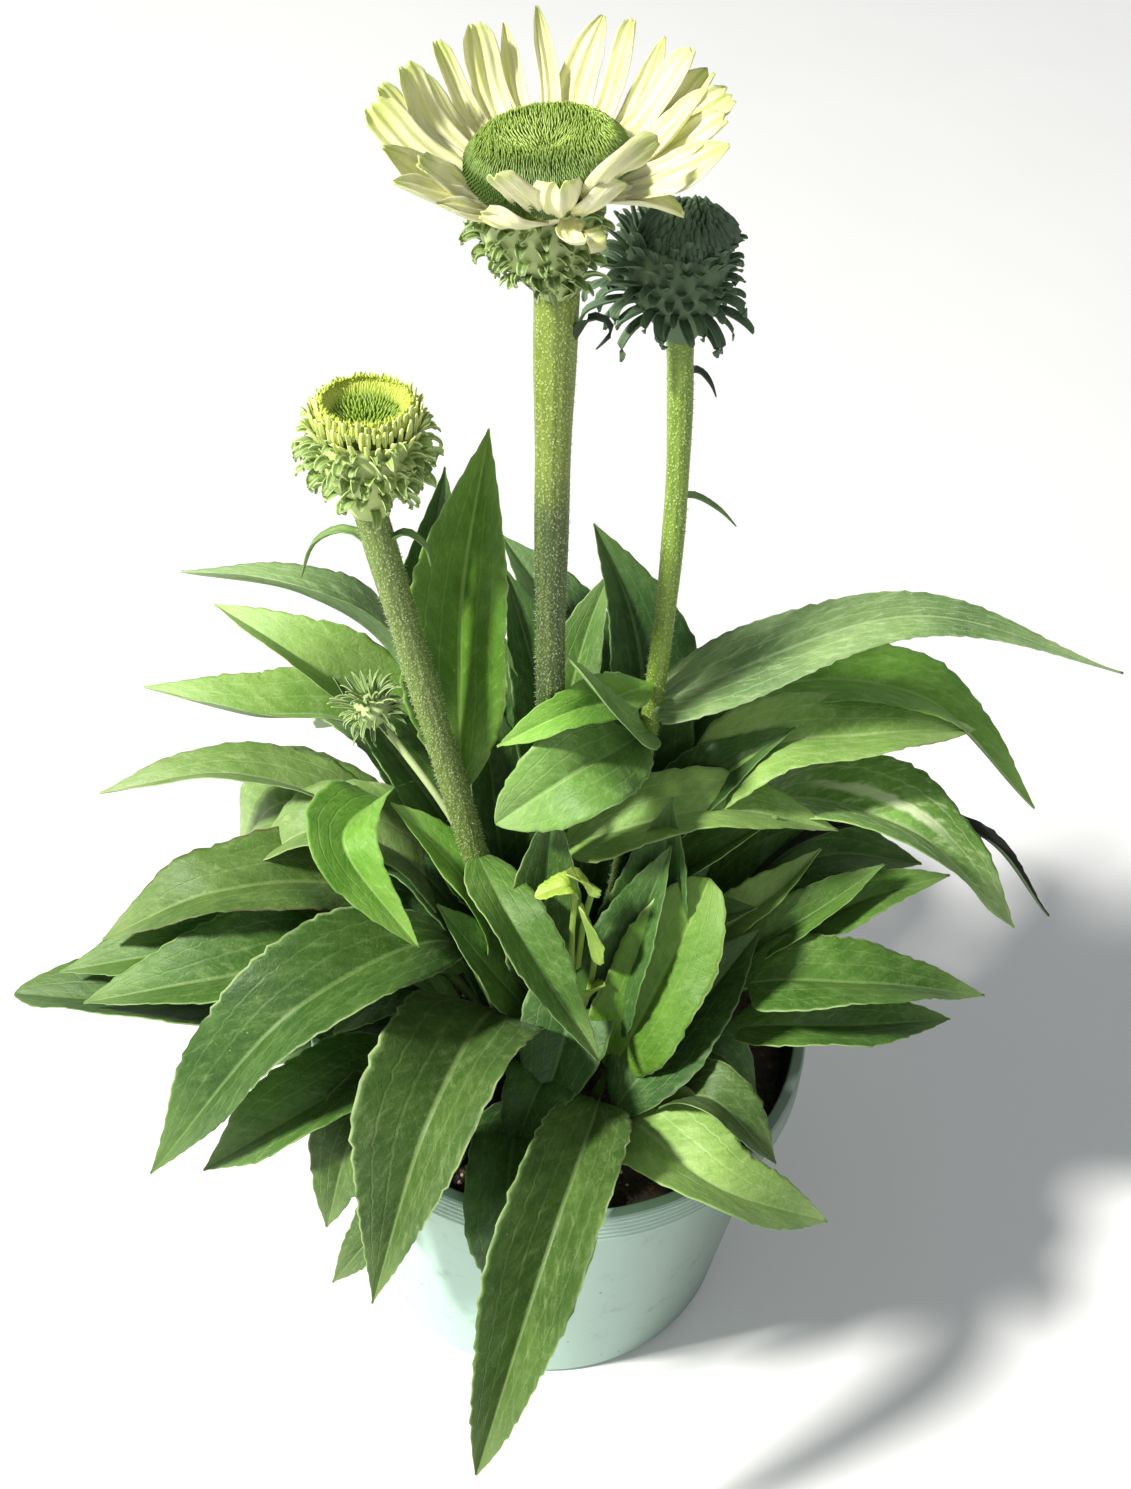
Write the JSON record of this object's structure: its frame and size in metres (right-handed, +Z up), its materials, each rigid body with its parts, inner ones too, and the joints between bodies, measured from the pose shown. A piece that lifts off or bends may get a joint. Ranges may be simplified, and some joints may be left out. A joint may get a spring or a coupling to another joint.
{
  "type": "potted coneflower plant",
  "caption": "Coneflower plant with an open pale daisy bloom, spiky opening heads on tall stems and long toothed leaves, in a round nursery pot.",
  "frame": {"origin": "centre of the pot's flat underside, on the surface it stands on", "axes": "+Z up along the pot's axis, +Y away from the viewer's side, +X to the viewer's right"},
  "size_m": [0.3441, 0.2865, 0.4319],
  "materials": {
    "pot_plastic": "smooth semi-matte pale teal moulded plastic with fine ridges on the lip",
    "potting_mix": "loose dark brown potting mix with pale grit and bark crumbs",
    "leaf_green": "rough hairy green leaf with pale arched veins",
    "young_leaf": "soft bright yellow-green young leaf",
    "stem_green": "bristly yellow-green stem, dark green lower down",
    "bract_green": "recurved pale-edged green bracts",
    "dark_bract": "very dark green bracts",
    "pale_bract": "curled pale green bracts",
    "ray_cream": "thin cream-white ray flower with green-yellow streaks and tip",
    "cone_green": "dense pointed green disc florets",
    "dark_cone": "dense dark green disc florets"
  },
  "bodies": {
    "root": {"pot": "pot_plastic", "soil": "potting_mix", "stem_main": "stem_green", "stem_right": "stem_green", "stem_left": "stem_green", "leaf_01": "leaf_green", "leaf_02": "leaf_green", "leaf_03": "leaf_green", "leaf_04": "leaf_green", "leaf_05": "leaf_green", "leaf_06": "leaf_green", "leaf_07": "leaf_green", "leaf_08": "leaf_green", "leaf_09": "leaf_green", "leaf_10": "leaf_green", "leaf_11": "leaf_green", "leaf_12": "leaf_green", "leaf_13": "leaf_green", "leaf_14": "leaf_green", "leaf_15": "leaf_green", "leaf_16": "leaf_green", "leaf_17": "leaf_green", "leaf_18": "leaf_green", "leaf_19": "leaf_green", "leaf_20": "leaf_green", "leaf_21": "leaf_green", "leaf_22": "leaf_green", "leaf_23": "leaf_green", "leaf_24": "leaf_green", "leaf_25": "leaf_green", "leaf_26": "leaf_green", "leaf_27": "leaf_green", "leaf_28": "leaf_green", "leaf_29": "leaf_green", "leaf_30": "leaf_green", "leaf_31": "leaf_green", "leaf_32": "leaf_green", "leaf_33": "leaf_green", "leaf_34": "leaf_green", "leaf_35": "leaf_green", "leaf_36": "leaf_green", "leaf_37": "leaf_green", "stem_leaf_1": "leaf_green", "stem_leaf_2": "leaf_green", "stem_leaf_3": "leaf_green", "stem_leaf_4": "leaf_green", "stem_leaf_5": "leaf_green", "stem_leaf_6": "leaf_green", "stem_leaf_7": "leaf_green", "young_leaves": "young_leaf", "side_bud": "pale_bract", "bloom_bracts": "bract_green", "bloom_rays": "ray_cream", "bloom_cone": "cone_green", "dark_head": "dark_bract", "dark_head_disc": "dark_cone", "pale_head": "pale_bract", "pale_head_disc": "cone_green"}
  },
  "joints": []
}
